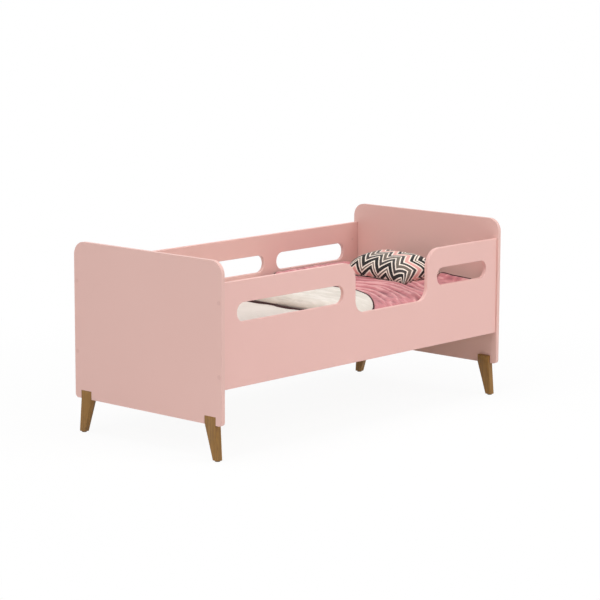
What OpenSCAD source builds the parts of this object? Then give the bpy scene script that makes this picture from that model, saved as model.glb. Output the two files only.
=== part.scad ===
// Toddler bed: two board ends on splayed wooden legs, two guard panels, a slat base and bedding.
// Millimetres. X runs from the foot end to the head end, the entry side faces -Y, and Z is up.
// The origin is on the floor under the middle of the bed.

/* [Overall] */
// Length over the outer faces of the two end panels
bed_l = 1560; // [1300:10:2000]
// Width of the end panels
bed_w = 740; // [640:10:1100]
// Height of the end panels' upper edges above the floor
bed_h = 700; // [660:10:900]
// Thickness of the lacquered board that all four panels are cut from
board_t = 15; // [14:0.5:22]

/* [End panels] */
// Height of their lower edges above the floor
end_lift = 127; // [90:1:180]
// Radius of their upper corners
end_top_r = 50; // [10:1:120]
// Radius of their lower corners
end_low_r = 15; // [4:1:22]

/* [Guard panels] */
// Height of one guard panel
guard_h = 372; // [330:1:400]
// Height of the lower edges above the floor
guard_lift = 252; // [200:1:256]
// How far the outer faces stand back from the end panels' edges
guard_setback = 6; // [2:0.5:15]

/* [Entry] */
// Width of the entry dip between its upright sides
entry_w = 412; // [300:1:480]
// Place of the dip's middle, counted from the middle of the bed towards the head
entry_x = 130; // [60:1:150]
// Depth of the dip below the panel's upper edge
entry_depth = 192; // [150:1:192]
// Radius of the shoulders where the dip rolls into the upper edge
entry_top_r = 68; // [20:1:80]
// Radius of the dip's two lower corners
entry_low_r = 50; // [20:1:70]

/* [Slots] */
// Height of every hand slot, which has full round ends
slot_h = 68; // [45:1:76]
// Board left between the panel's upper edge and a slot
slot_drop = 77; // [66:1:90]
// Board left between an end panel and the front panel's slots
front_slot_end = 67; // [55:1:90]
// Board left between the longer slot and the entry
post_foot_w = 66; // [45:1:90]
// Board left between the shorter slot and the entry
post_head_w = 59; // [45:1:90]
// Number of slots in the back panel
back_slots = 3; // [2:1:4]
// Board left between two slots of the back panel
back_post_w = 71; // [50:1:110]
// Board left between an end panel and the back panel's slots
back_slot_end = 88; // [60:1:120]

/* [Legs] */
// Thickness of a leg at its top, along the bed
leg_t = 26; // [22:0.5:36]
// Thickness of a leg at the floor, along the bed
leg_foot_t = 22; // [20:0.5:30]
// Width of a leg where it sits in its notch
leg_top_w = 54; // [44:1:70]
// Width of a leg at the floor
leg_foot_w = 26; // [20:1:36]
// Height of the notch that takes the leg's head
leg_notch_h = 30; // [20:1:45]
// Board left between the notch and the panel's side edge
leg_inset = 30; // [24:1:60]
// How far the leg's foot stands outside its head
leg_splay = 11; // [0:1:22]
// Diameter of the felt glide under a leg
glide_d = 18; // [12:1:19]
// Thickness of the felt glide
glide_t = 3; // [2:0.5:6]

/* [Fittings] */
// Shank diameter of a panel bolt
bolt_d = 6; // [5:0.5:8]
// Length of a panel bolt under its head
bolt_l = 50; // [44:1:60]
// Diameter of a panel bolt's head
bolt_head_d = 12; // [10:0.5:13]
// Thickness of a panel bolt's head
bolt_head_t = 3; // [2.5:0.25:4]
// Width across the corners of the key socket in a bolt's head
bolt_key_d = 4.6; // [3:0.1:5]
// Depth of the key socket
bolt_key_depth = 2; // [1:0.1:2.2]
// Diameter of the recess that hides a bolt head
recess_d = 13.4; // [13.1:0.1:15]
// Depth of that recess
recess_depth = 4.6; // [4.2:0.1:6]
// Distance of the upper bolts below the guard panels' upper edge
bolt_drop = 68; // [60:1:80]
// Height of the lower bolts above the guard panels' lower edge
bolt_rise = 47; // [45:1:60]
// Diameter of a barrel nut
nut_d = 10; // [9:0.5:12]
// Board left behind a barrel nut, towards the guard panel's outer face
nut_cover = 3; // [2:0.5:3.5]
// How far a barrel nut is sunk below the guard panel's inner face, under its plug
nut_sink = 1.5; // [1:0.25:2]
// Diameter of the cover caps' rims
cap_d = 15.6; // [15.2:0.1:18]
// Thickness of the cover caps' rims
cap_t = 0.6; // [0.4:0.1:1.5]
// Diameter of the wooden dowels
dowel_d = 8; // [6:0.5:9]
// Length of a dowel between an end panel and a guard panel
dowel_l = 30; // [24:1:36]
// Distance between a bolt and its dowel
dowel_offset = 32; // [24:1:40]
// Length of a dowel between a leg and its panel
leg_dowel_l = 40; // [30:1:44]
// Distance between the two dowels of a leg
leg_dowel_pitch = 28; // [18:1:30]

/* [Slat base] */
// Number of slats
slat_count = 13; // [10:1:14]
// Width of a slat
slat_w = 65; // [50:1:75]
// Thickness of a slat
slat_t = 15; // [12:0.5:20]
// Chamfer along a slat's edges
slat_chamfer = 1.5; // [0.5:0.1:3]
// Distance from the end panels to the first and last slats
slat_end_gap = 30; // [15:1:60]
// Distance from a slat's end to the guard panel
slat_side_gap = 2; // [1:0.5:4]
// Height of a ledger
ledger_h = 22; // [22:1:30]
// Depth of a ledger across the bed
ledger_w = 22; // [20:1:30]
// Height of a ledger's lower face above the guard panel's lower edge
ledger_rise = 3; // [0:1:12]
// Distance from the end panels to a ledger's ends
ledger_end_gap = 20; // [5:1:40]
// Number of screws in one ledger
ledger_screws_n = 5; // [3:1:8]
// Shank diameter of the wood screws
screw_d = 3.5; // [3:0.5:4.5]
// How deep a ledger's screws go into the guard panel
ledger_screw_grip = 10; // [8:1:11]
// How deep a slat's screws go into the ledger
slat_screw_grip = 10; // [8:1:11]
// Height of a ledger's screws above the ledger's lower face
ledger_screw_rise = 8; // [7:0.5:9]
// Chamfer along a ledger's lower inner edge
ledger_chamfer = 3; // [1:0.5:3.5]

/* [Bedding] */
// Gap between the mattress and an end panel
mattress_end_gap = 15; // [5:1:30]
// Gap between the mattress and a guard panel
mattress_side_gap = 4; // [3:0.5:8]
// Thickness of the mattress
mattress_t = 120; // [80:1:130]
// Radius of the mattress's corners, seen from above
mattress_r = 45; // [10:1:70]
// Least radius of the hem's inner corners
hem_r = 5; // [2:1:9]
// Thickness of the fitted sheet's cloth
sheet_t = 1; // [0.5:0.1:2]
// Width of the sheet's hem under the mattress
sheet_hem_w = 60; // [30:1:90]
// Thickness of one layer of the quilt
quilt_t = 24; // [12:0.5:26]
// Gap between the quilt and a guard panel
quilt_side_gap = 6; // [5:0.5:12]
// Distance from the quilt's head end to the headboard
quilt_head_gap = 62; // [55:1:90]
// Distance from the quilt's head end to its fold
quilt_l = 808; // [700:1:1000]
// Length of the flap that is folded back over the quilt
flap_l = 363; // [310:1:500]
// Radius of the quilt's corners
quilt_r = 60; // [20:1:100]
// Radius of the flap's free corner on the entry side
flap_r = 230; // [60:1:250]
// How far the quilt's far edge turns up along the back guard panel, above its lower layer
quilt_upturn = 38; // [26:1:60]
// Size of the pillow along the bed
pillow_l = 214; // [180:1:260]
// Size of the pillow across the bed
pillow_w = 356; // [280:1:480]
// Thickness of the pillow
pillow_t = 100; // [60:1:120]
// Distance from the pillow's middle to the headboard
pillow_head_gap = 162; // [155:1:200]
// Offset of the pillow's middle towards the back of the bed
pillow_y = 31; // [-60:1:60]
// Tilt of the pillow, head side up
pillow_tilt = 6; // [0:1:10]
// Turn of the pillow seen from above
pillow_turn = -7; // [-12:1:12]

/* [Hidden] */
$fn = 64;
eps = 0.5;            // how far a cutter runs past the face that it opens
fit_gap = 0.05;       // radial clearance of screws, bolts and dowels in their holes
rest_gap = 0.3;       // gap under what only lies on another piece

half_l = bed_l / 2;
half_w = bed_w / 2;
guard_l = bed_l - 2 * board_t;
guard_top = guard_lift + guard_h;
guard_outer_y = half_w - guard_setback;
guard_inner_y = guard_outer_y - board_t;
guard_mid_y = guard_outer_y - board_t / 2;

entry_x0 = entry_x - entry_w / 2;
entry_x1 = entry_x + entry_w / 2;
entry_z = guard_top - entry_depth;
slot_z = guard_top - slot_drop - slot_h / 2;
back_slot_l = (guard_l - 2 * back_slot_end - (back_slots - 1) * back_post_w) / back_slots;

notch_top = end_lift + leg_notch_h;
leg_head_y1 = half_w - leg_inset;
leg_head_y0 = leg_head_y1 - leg_top_w;
leg_foot_y1 = leg_head_y1 + leg_splay;
leg_foot_y0 = leg_foot_y1 - leg_foot_w;
leg_dowel_x = -half_l + board_t / 2;

bolt_heights = [guard_lift + bolt_rise, guard_top - bolt_drop];
dowel_heights = [bolt_heights[0] + dowel_offset, bolt_heights[1] - dowel_offset];
bolt_seat_x = -half_l + recess_depth;
bolt_tip_x = bolt_seat_x + bolt_l;
nut_l = board_t - nut_cover - nut_sink;
nut_x = bolt_tip_x - nut_d / 2 - 0.5;
dowel_x0 = -half_l + board_t - dowel_l / 3;

ledger_z = guard_lift + ledger_rise;
ledger_inner_y = guard_inner_y - ledger_w;
ledger_l = guard_l - 2 * ledger_end_gap;
slat_z = ledger_z + ledger_h;
slat_top = slat_z + slat_t;
slat_l = 2 * (guard_inner_y - slat_side_gap);
slat_pitch = (guard_l - 2 * slat_end_gap - slat_w) / (slat_count - 1);
slat_screw_y = guard_inner_y - ledger_w / 2;
slat_screw_l = slat_t + slat_screw_grip;
ledger_screw_l = ledger_w + ledger_screw_grip;
ledger_screw_z = ledger_z + ledger_screw_rise;

sheet_z = slat_top + rest_gap;
mattress_z = sheet_z + sheet_t;
mattress_l = guard_l - 2 * mattress_end_gap;
mattress_w = 2 * (guard_inner_y - mattress_side_gap);
sheet_top = mattress_z + mattress_t + sheet_t;
quilt_head_x = half_l - board_t - quilt_head_gap;
quilt_fold_x = quilt_head_x - quilt_l;
quilt_half_w = guard_inner_y - quilt_side_gap;
flap_x = quilt_fold_x + flap_l;
quilt_top = sheet_top + quilt_t;
pillow_x = half_l - board_t - pillow_head_gap;
pillow_corner_r = 13;
pillow_belly = 0.47;  // semi-axes of the belly, as a part of the pillow's length and width
// Depth of the tilted belly's lowest point below the pillow's middle
pillow_low = norm([pillow_t / 2 * cos(pillow_tilt), pillow_l * pillow_belly * sin(pillow_tilt)]);

// ---- placing: every fitting is drawn at the foot end of the back side and mirrored from there

module at_end(end) {
    if (end < 0) children();
    else mirror([1, 0, 0]) children();
}

module at_side(side) {
    if (side > 0) children();
    else mirror([0, 1, 0]) children();
}

module at_corners() {
    for (end = [-1, 1], side = [-1, 1]) at_end(end) at_side(side) children();
}

// A cylinder along +X from a point
module rod_x(x, y, z, d, l) {
    translate([x, y, z]) rotate([0, 90, 0]) cylinder(d = d, h = l);
}

// A cylinder along +Z from a point
module rod_z(x, y, z, d, l) {
    translate([x, y, z]) cylinder(d = d, h = l);
}

// ---- flat shapes

// What a rounded corner removes: the square corner at (x, y) outside an arc of radius r.
// (sx, sy) points out of the shape, across the corner.
module corner_cut(x, y, sx, sy, r) {
    translate([x - sx * r, y - sy * r]) difference() {
        translate([sx > 0 ? 0 : -r - eps, sy > 0 ? 0 : -r - eps]) square(r + eps);
        circle(r);
    }
}

// A rectangle centred on x = 0 from y0 to y1, with its own radius at the lower and upper corners
module rounded_rect(w, y0, y1, r_low, r_top) {
    difference() {
        translate([-w / 2, y0]) square([w, y1 - y0]);
        for (s = [-1, 1]) {
            corner_cut(s * w / 2, y0, s, -1, r_low);
            corner_cut(s * w / 2, y1, s, 1, r_top);
        }
    }
}

// A rectangle from (x0, y0) to (x1, y1) whose four corners have their own radii,
// given anticlockwise from the lower left
module four_corner_rect(x0, y0, x1, y1, r) {
    difference() {
        translate([x0, y0]) square([x1 - x0, y1 - y0]);
        if (r[0] > 0) corner_cut(x0, y0, -1, -1, r[0]);
        if (r[1] > 0) corner_cut(x1, y0, 1, -1, r[1]);
        if (r[2] > 0) corner_cut(x1, y1, 1, 1, r[2]);
        if (r[3] > 0) corner_cut(x0, y1, -1, 1, r[3]);
    }
}

// A slot with full round ends between x0 and x1, on the guard panels' slot line
module slot_shape(x0, x1) {
    translate([x0 + slot_h / 2, slot_z - slot_h / 2]) square([x1 - x0 - slot_h, slot_h]);
    for (x = [x0 + slot_h / 2, x1 - slot_h / 2]) translate([x, slot_z]) circle(slot_h / 2);
}

// The entry dip: round lower corners, and shoulders that roll into the upper edge
module entry_shape() {
    difference() {
        translate([entry_x0, entry_z]) square([entry_w, entry_depth + eps]);
        corner_cut(entry_x0, entry_z, -1, -1, entry_low_r);
        corner_cut(entry_x1, entry_z, 1, -1, entry_low_r);
    }
    corner_cut(entry_x0, guard_top, 1, 1, entry_top_r);
    corner_cut(entry_x1, guard_top, -1, 1, entry_top_r);
}

module guard_blank() {
    translate([-guard_l / 2, guard_lift]) square([guard_l, guard_h]);
}

module front_guard_shape() {
    difference() {
        guard_blank();
        slot_shape(-guard_l / 2 + front_slot_end, entry_x0 - post_foot_w);
        slot_shape(entry_x1 + post_head_w, guard_l / 2 - front_slot_end);
        entry_shape();
    }
}

module back_guard_shape() {
    difference() {
        guard_blank();
        for (i = [0 : back_slots - 1]) {
            x0 = -guard_l / 2 + back_slot_end + i * (back_slot_l + back_post_w);
            slot_shape(x0, x0 + back_slot_l);
        }
    }
}

// ---- panels

// Holes that a panel bolt and its recess need, from the outer face of the end panel to the nut
module bolt_holes() {
    for (z = bolt_heights) {
        rod_x(-half_l - eps, guard_mid_y, z, recess_d, recess_depth + eps);
        rod_x(-half_l, guard_mid_y, z, bolt_d + 2 * fit_gap, recess_depth + bolt_l + 1);
        translate([nut_x, guard_inner_y - eps, z]) rotate([-90, 0, 0])
            cylinder(d = nut_d + 2 * fit_gap, h = nut_sink + nut_l + 0.4 + eps);
    }
}

module dowel_holes() {
    for (z = dowel_heights)
        rod_x(dowel_x0 - 0.3, guard_mid_y, z, dowel_d + 2 * fit_gap, dowel_l + 0.6);
}

// Blind holes along the middle of the leg's head, for its two dowels
module leg_dowel_holes() {
    for (s = [-1, 1])
        rod_z(leg_dowel_x, (leg_head_y0 + leg_head_y1) / 2 + s * leg_dowel_pitch / 2,
            notch_top - leg_dowel_l / 2 - 0.3, dowel_d + 2 * fit_gap, leg_dowel_l + 0.6);
}

module end_panel() {
    difference() {
        translate([-half_l, 0, 0]) rotate([90, 0, 90]) linear_extrude(board_t)
            rounded_rect(bed_w, end_lift, bed_h, end_low_r, end_top_r);
        for (side = [-1, 1]) at_side(side) {
            translate([-half_l - eps, leg_head_y0, end_lift - eps])
                cube([board_t + 2 * eps, leg_top_w, leg_notch_h + eps]);
            bolt_holes();
            dowel_holes();
            leg_dowel_holes();
        }
    }
}

module footboard() {
    color([0.86, 0.68, 0.65]) at_end(-1) end_panel();
}

module headboard() {
    color([0.86, 0.68, 0.65]) at_end(1) end_panel();
}

// A guard panel on the back side, cut to the shape given as its child
module guard_panel() {
    difference() {
        translate([0, guard_outer_y, 0]) rotate([90, 0, 0]) linear_extrude(board_t) children();
        for (end = [-1, 1]) at_end(end) {
            bolt_holes();
            dowel_holes();
        }
        ledger_screw_places() screw_hole(ledger_screw_l);
    }
}

module front_guard() {
    color([0.91, 0.74, 0.71]) at_side(-1) guard_panel() front_guard_shape();
}

module back_guard() {
    color([0.88, 0.70, 0.67]) at_side(1) guard_panel() back_guard_shape();
}

// ---- legs

// A leg seen from the end of the bed: a square head in the notch, then a splayed taper
module leg_face() {
    polygon([[leg_head_y0, notch_top], [leg_head_y1, notch_top], [leg_head_y1, end_lift],
        [leg_foot_y1, glide_t], [leg_foot_y0, glide_t], [leg_head_y0, end_lift]]);
}

// The same leg seen from the side: its outer face is upright, its inner face tapers
module leg_side() {
    polygon([[-half_l, glide_t], [-half_l + leg_foot_t, glide_t], [-half_l + leg_t, end_lift],
        [-half_l + leg_t, notch_top], [-half_l, notch_top]]);
}

module leg() {
    difference() {
        intersection() {
            translate([-half_l, 0, 0]) rotate([90, 0, 90]) linear_extrude(leg_t) leg_face();
            translate([0, half_w, 0]) rotate([90, 0, 0]) linear_extrude(half_w) leg_side();
        }
        leg_dowel_holes();
    }
}

module leg_at(end, side) {
    color([0.62, 0.46, 0.26]) at_end(end) at_side(side) leg();
}

// Two beech dowels up from each leg into the panel's edge
module leg_dowels() {
    color([0.85, 0.72, 0.52]) at_corners() for (s = [-1, 1])
        rod_z(leg_dowel_x, (leg_head_y0 + leg_head_y1) / 2 + s * leg_dowel_pitch / 2,
            notch_top - leg_dowel_l / 2, dowel_d, leg_dowel_l);
}

module leg_glides() {
    color([0.30, 0.24, 0.20]) at_corners()
        rod_z(-half_l + leg_foot_t / 2, (leg_foot_y0 + leg_foot_y1) / 2, 0, glide_d, glide_t);
}

// ---- panel fittings

module panel_bolts() {
    color([0.75, 0.75, 0.77]) at_corners() for (z = bolt_heights) difference() {
        union() {
            rod_x(bolt_seat_x - bolt_head_t, guard_mid_y, z, bolt_head_d, bolt_head_t);
            rod_x(bolt_seat_x - bolt_head_t, guard_mid_y, z, bolt_d, bolt_head_t + bolt_l);
        }
        // hexagon socket for the key
        translate([bolt_seat_x - bolt_head_t - eps, guard_mid_y, z]) rotate([0, 90, 0])
            cylinder(d = bolt_key_d, h = bolt_key_depth + eps, $fn = 6);
    }
}

module barrel_nuts() {
    color([0.72, 0.70, 0.62]) at_corners() for (z = bolt_heights) difference() {
        translate([nut_x, guard_inner_y + nut_sink, z]) rotate([-90, 0, 0])
            cylinder(d = nut_d, h = nut_l);
        rod_x(nut_x - nut_d, guard_mid_y, z, bolt_d + 2 * fit_gap, 2 * nut_d);
    }
}

module panel_dowels() {
    color([0.85, 0.72, 0.52]) at_corners() for (z = dowel_heights)
        rod_x(dowel_x0, guard_mid_y, z, dowel_d, dowel_l);
}

// Push-in caps: a plug in each bolt's recess with a thin rim on the panel's face, and a flat disc
// over each barrel nut
module cover_caps() {
    plug_l = recess_depth - bolt_head_t - 0.2;
    color([0.84, 0.66, 0.63]) at_corners() for (z = bolt_heights) {
        rod_x(-half_l, guard_mid_y, z, recess_d - 2 * fit_gap, plug_l);
        translate([-half_l, guard_mid_y, z]) rotate([0, -90, 0]) rotate_extrude()
            polygon([[0, 0], [cap_d / 2, 0], [cap_d / 2 - cap_t, cap_t], [0, cap_t]]);
        translate([nut_x, guard_inner_y, z]) rotate([-90, 0, 0])
            cylinder(d = nut_d, h = nut_sink - 0.3);
    }
}

// ---- slat base

// A countersunk wood screw along -Z, with its head's face at the origin
module wood_screw(l) {
    d = screw_d;
    rotate_extrude() polygon([[0, 0], [d, 0], [d / 2, -d / 2], [d / 2, d - l], [0.3, -l], [0, -l]]);
}

// The hole that the same screw leaves, open above its head
module screw_hole(l) {
    d = screw_d;
    r = d / 2 + fit_gap;
    rotate_extrude() polygon([[0, eps], [d + fit_gap, eps], [d + fit_gap, 0], [r, -d / 2],
        [r, d - l], [0.3 + fit_gap, -l - fit_gap], [0, -l - fit_gap]]);
}

// The screws of the back ledger, driven from its inner face into the guard panel
module ledger_screw_places() {
    for (i = [0 : ledger_screws_n - 1])
        translate([-ledger_l / 2 + ledger_l * (i + 0.5) / ledger_screws_n, ledger_inner_y,
            ledger_screw_z]) rotate([90, 0, 0]) children();
}

module slat_middle(i) {
    translate([-guard_l / 2 + slat_end_gap + slat_w / 2 + (i - 1) * slat_pitch, 0, 0]) children();
}

module slat_screw_places() {
    for (side = [-1, 1]) translate([0, side * slat_screw_y, slat_top]) children();
}

module ledger(side) {
    edge = ledger_chamfer;
    color([0.88, 0.76, 0.56]) at_side(side) difference() {
        translate([-ledger_l / 2, 0, 0]) rotate([90, 0, 90]) linear_extrude(ledger_l)
            polygon([[guard_inner_y, ledger_z], [guard_inner_y, slat_z], [ledger_inner_y, slat_z],
                [ledger_inner_y, ledger_z + edge], [ledger_inner_y + edge, ledger_z]]);
        ledger_screw_places() screw_hole(ledger_screw_l);
        for (i = [1 : slat_count]) slat_middle(i) slat_screw_places() screw_hole(slat_screw_l);
    }
}

module ledger_screws() {
    color([0.80, 0.74, 0.50]) for (side = [-1, 1]) at_side(side)
        ledger_screw_places() wood_screw(ledger_screw_l);
}

module slat(i) {
    w = slat_w / 2;
    c = slat_chamfer;
    color([0.90, 0.79, 0.60]) slat_middle(i) difference() {
        translate([0, slat_l / 2, 0]) rotate([90, 0, 0]) linear_extrude(slat_l)
            polygon([[-w + c, slat_z], [w - c, slat_z], [w, slat_z + c], [w, slat_top - c],
                [w - c, slat_top], [-w + c, slat_top], [-w, slat_top - c], [-w, slat_z + c]]);
        slat_screw_places() screw_hole(slat_screw_l);
    }
}

module slat_screws() {
    color([0.80, 0.74, 0.50]) for (i = [1 : slat_count])
        slat_middle(i) slat_screw_places() wood_screw(slat_screw_l);
}

// ---- bedding

// The mattress's outline from above, grown by g
module mattress_shape(g = 0) {
    r = max(hem_r, mattress_r + g);
    rounded_rect(mattress_l + 2 * g, -mattress_w / 2 - g, mattress_w / 2 + g, r, r);
}

module mattress() {
    color([0.93, 0.93, 0.92]) translate([0, 0, mattress_z]) linear_extrude(mattress_t)
        mattress_shape();
}

// A cap of cloth over the mattress, with an elastic hem turned in under it
module fitted_sheet() {
    color([0.94, 0.91, 0.86]) difference() {
        translate([0, 0, sheet_z]) linear_extrude(mattress_t + 2 * sheet_t)
            mattress_shape(sheet_t);
        translate([0, 0, mattress_z]) linear_extrude(mattress_t) mattress_shape();
        translate([0, 0, sheet_z - eps]) linear_extrude(sheet_t + 2 * eps)
            mattress_shape(-sheet_hem_w);
    }
}

// The quilt lies from its fold to the headboard. A flap of it is folded back on top, and its far
// edge turns up along the back guard panel.
module quilt() {
    fold_x = quilt_fold_x + quilt_t;
    color([0.82, 0.52, 0.54]) {
        translate([0, 0, sheet_top]) linear_extrude(quilt_t)
            four_corner_rect(fold_x, -quilt_half_w, quilt_head_x, quilt_half_w,
                [0, quilt_r, quilt_r, 0]);
        // the flap, let into the layer below so that the two are one piece
        translate([0, 0, quilt_top - quilt_t / 2]) linear_extrude(quilt_t * 1.5)
            four_corner_rect(fold_x, -quilt_half_w, flap_x, quilt_half_w,
                [0, flap_r, quilt_r, 0]);
        // the round fold itself
        intersection() {
            translate([fold_x, quilt_half_w, quilt_top]) rotate([90, 0, 0])
                cylinder(r = quilt_t, h = 2 * quilt_half_w);
            translate([fold_x - 2 * quilt_t, -quilt_half_w, sheet_top])
                cube([2 * quilt_t + eps, 2 * quilt_half_w, 2 * quilt_t]);
        }
        // the upturned far edge, round along its top
        translate([fold_x, 0, 0]) rotate([90, 0, 90])
            linear_extrude(quilt_head_x - quilt_r - fold_x) difference() {
                translate([quilt_half_w - quilt_t, quilt_top - quilt_t / 2])
                    square([quilt_t, quilt_t / 2 + quilt_upturn]);
                for (s = [-1, 1])
                    corner_cut(quilt_half_w - quilt_t / 2 + s * quilt_t / 2,
                        quilt_top + quilt_upturn, s, 1, quilt_t * 0.45);
            }
    }
}

module pillow() {
    corner_x = pillow_l / 2 - pillow_corner_r;
    corner_y = pillow_w / 2 - pillow_corner_r;
    color([0.62, 0.60, 0.58]) translate([pillow_x, pillow_y, quilt_top + rest_gap + pillow_low])
        rotate([0, 0, pillow_turn]) rotate([0, -pillow_tilt, 0]) hull() {
            scale([pillow_l * pillow_belly, pillow_w * pillow_belly, pillow_t / 2])
                sphere(1, $fn = 32);
            for (sx = [-1, 1], sy = [-1, 1])
                translate([sx * corner_x, sy * corner_y, 0]) sphere(pillow_corner_r, $fn = 24);
        }
}

// ---- what is drawn

headboard();
footboard();
front_guard();
back_guard();
leg_at(-1, -1);  // leg_front_foot
leg_at(-1, 1);  // leg_back_foot
leg_at(1, -1);  // leg_front_head
leg_at(1, 1);  // leg_back_head
leg_dowels();
leg_glides();
panel_bolts();
barrel_nuts();
panel_dowels();
cover_caps();
ledger(-1);  // front_ledger
ledger(1);  // back_ledger
ledger_screws();
for (i = [1 : slat_count]) {
    slat(i);
}
slat_screws();
mattress();
fitted_sheet();
quilt();
pillow();
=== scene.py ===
"""Toddler bed: lacquered boards, splayed wooden legs, slat base and bedding, in metres."""
import math

import bmesh
import bpy
from mathutils import Matrix, Vector, noise


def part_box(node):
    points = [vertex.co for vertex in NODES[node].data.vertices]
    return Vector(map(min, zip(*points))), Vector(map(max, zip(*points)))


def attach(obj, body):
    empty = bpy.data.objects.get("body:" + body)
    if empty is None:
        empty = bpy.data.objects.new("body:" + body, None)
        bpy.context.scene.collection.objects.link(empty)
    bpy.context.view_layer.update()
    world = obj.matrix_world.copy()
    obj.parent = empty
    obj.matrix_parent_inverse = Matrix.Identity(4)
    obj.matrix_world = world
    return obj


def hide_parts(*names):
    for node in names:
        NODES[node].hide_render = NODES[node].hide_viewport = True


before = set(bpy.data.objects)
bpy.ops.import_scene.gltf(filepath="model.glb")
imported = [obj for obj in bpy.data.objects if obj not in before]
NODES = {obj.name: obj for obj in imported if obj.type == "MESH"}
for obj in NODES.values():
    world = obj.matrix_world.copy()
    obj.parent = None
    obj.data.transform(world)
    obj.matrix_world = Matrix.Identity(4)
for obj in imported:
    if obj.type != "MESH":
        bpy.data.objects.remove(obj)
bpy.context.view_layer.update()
SCENE = bpy.context.scene


# ---------------------------------------------------------------- sizes

# read off the frame
END_LO, END_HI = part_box("footboard")
BOARD = END_HI.x - END_LO.x
HALF_L = -END_LO.x
HALF_W = END_HI.y
BED_H = END_HI.z
END_LIFT = END_LO.z
GUARD_LO, GUARD_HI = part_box("back_guard")
GUARD_L = GUARD_HI.x - GUARD_LO.x
GUARD_OUT = GUARD_HI.y
GUARD_IN = GUARD_LO.y
GUARD_TOP = GUARD_HI.z
LEG_LO, LEG_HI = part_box("leg_back_foot")
MAT_LO, MAT_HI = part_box("mattress")
SHEET_LO, SHEET_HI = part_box("fitted_sheet")
QUILT_LO, QUILT_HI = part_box("quilt")
PILLOW_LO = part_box("pillow")[0]

# legs: thickness along X and width along Y, at the notch and at the foot
LEG_TOP_T, LEG_FOOT_T = 0.026, 0.022
LEG_TOP_W, LEG_FOOT_W = 0.054, 0.026
LEG_INSET = 0.030
LEG_EASE = 0.0016

# end panels
END_TOP_R, END_LOW_R = 0.050, 0.015
NOTCH_TOP = LEG_HI.z
NOTCH_Y1 = HALF_W - LEG_INSET
NOTCH_Y0 = NOTCH_Y1 - LEG_TOP_W
EASE = 0.0018

# guard panels: the entry dip, and slots a post's width apart
ENTRY_MID, ENTRY_W, ENTRY_DEPTH = 0.130, 0.412, 0.192
ENTRY_X0, ENTRY_X1 = ENTRY_MID - ENTRY_W / 2, ENTRY_MID + ENTRY_W / 2
ENTRY_Z = GUARD_TOP - ENTRY_DEPTH
ENTRY_TOP_R, ENTRY_LOW_R = 0.068, 0.050
SLOT_H, SLOT_DROP = 0.068, 0.077
SLOT_Z = GUARD_TOP - SLOT_DROP - SLOT_H / 2
FRONT_SLOT_END, POST_FOOT_W, POST_HEAD_W = 0.067, 0.066, 0.059
BACK_SLOTS, BACK_SLOT_END, BACK_POST_W = 3, 0.088, 0.071

# caps over the bolts and thin discs over the nuts, at two heights
CAP_R, NUT_R, DISC_PROUD = 0.0078, 0.0050, 0.0003
CAP_SINK, CAP_EASE = 0.001, 0.0004
BOLT_RISE, BOLT_DROP = 0.047, 0.068

# mattress and fitted sheet, which share their round corners. The sheet's creases die out
# over SHEET_CALM, at its edge
MATTRESS_R, MATTRESS_RIM = 0.045, 0.010
SHEET_T, SHEET_INSET = 0.0008, 0.0003
SHEET_WALL_ROWS, SHEET_HEM_ROWS = 6, 5
SHEET_HEM, SHEET_HEM_NET = 0.06, 0.055
SHEET_CALM = 0.04

# quilt: padding that thins over RIM, to RIM_SHARE at the piped edge, and the flap that is
# folded back, whose front corner is an arc of its own
CLOTH_STEP = 0.0106
PAD, LAYER_GAP = (QUILT_HI.z - QUILT_LO.z) / 3, 0.001
RIM, RIM_SHARE = 0.034, 0.20
QUILT_CORNER_R, QUILT_INSET = 0.06, 0.002
FLAP_X, FLAP_R, FLAP_RY, FLAP_POWER = 0.226, 0.19, 0.26, 1.4
FOLD_INSET, FOLD_SKEW = 0.022, 0.034
# the piping's radius, then that of the dark cord laid under the fold as painted shadow
PIPING_R, FOLD_SHADOW_CORD_R = 0.0040, 0.0050

# the quilt's layers: the middle of their padding, the bend between them, and the flat cloth
LOW_Z = QUILT_LO.z + PAD / 2 + LAYER_GAP / 2
HIGH_Z = LOW_Z + PAD + LAYER_GAP
FOLD_R = (HIGH_Z - LOW_Z) / 2
FOLD_X = QUILT_LO.x + FOLD_R + PAD / 2 + FOLD_INSET
QUILT_HALF_W = QUILT_HI.y - QUILT_INSET
LOWER_L = QUILT_HI.x - FOLD_X
BEND_L = math.pi * FOLD_R
CLOTH_L = LOWER_L + BEND_L + FLAP_X - FOLD_X

# the quilt's rises, drops and folds
BILLOW, WANDER = 0.004, 0.020
SWELL_PITCH, SWELL_H = 0.083, 0.006
COMB_PITCH, COMB_H = 0.035, 0.0105
SMALL_FOLD_H, CREASE_H = 0.0035, 0.0045
NEST_RISE, HEAP_RISE, HEAP_EDGE_RISE = 0.007, 0.027, 0.003
LOWER_WALL_RISE, FLAP_WALL_RISE, FLAP_EDGE_RISE = 0.042, 0.020, 0.0015
TUCK_DROP, FLAP_DROP, FLAP_EDGE_DROP = 0.014, 0.017, 0.012

# pillow: half its length along X, width along Y and thickness, how much of that is below and
# above the seam, how far its sides draw in, and how it lies
PILLOW_HALF_L, PILLOW_HALF_W, PILLOW_HALF_T = 0.101, 0.174, 0.0505
PILLOW_BELOW, PILLOW_ABOVE, PILLOW_WAIST = 0.40, 1.60, 0.06
PILLOW_X, PILLOW_Y, PILLOW_RISE = 0.603, 0.031, 0.0240
PILLOW_TILT, PILLOW_TURN = math.radians(6), math.radians(-7)
PILLOW_PUFF = 0.006


# ---------------------------------------------------------------- shader expressions

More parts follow.
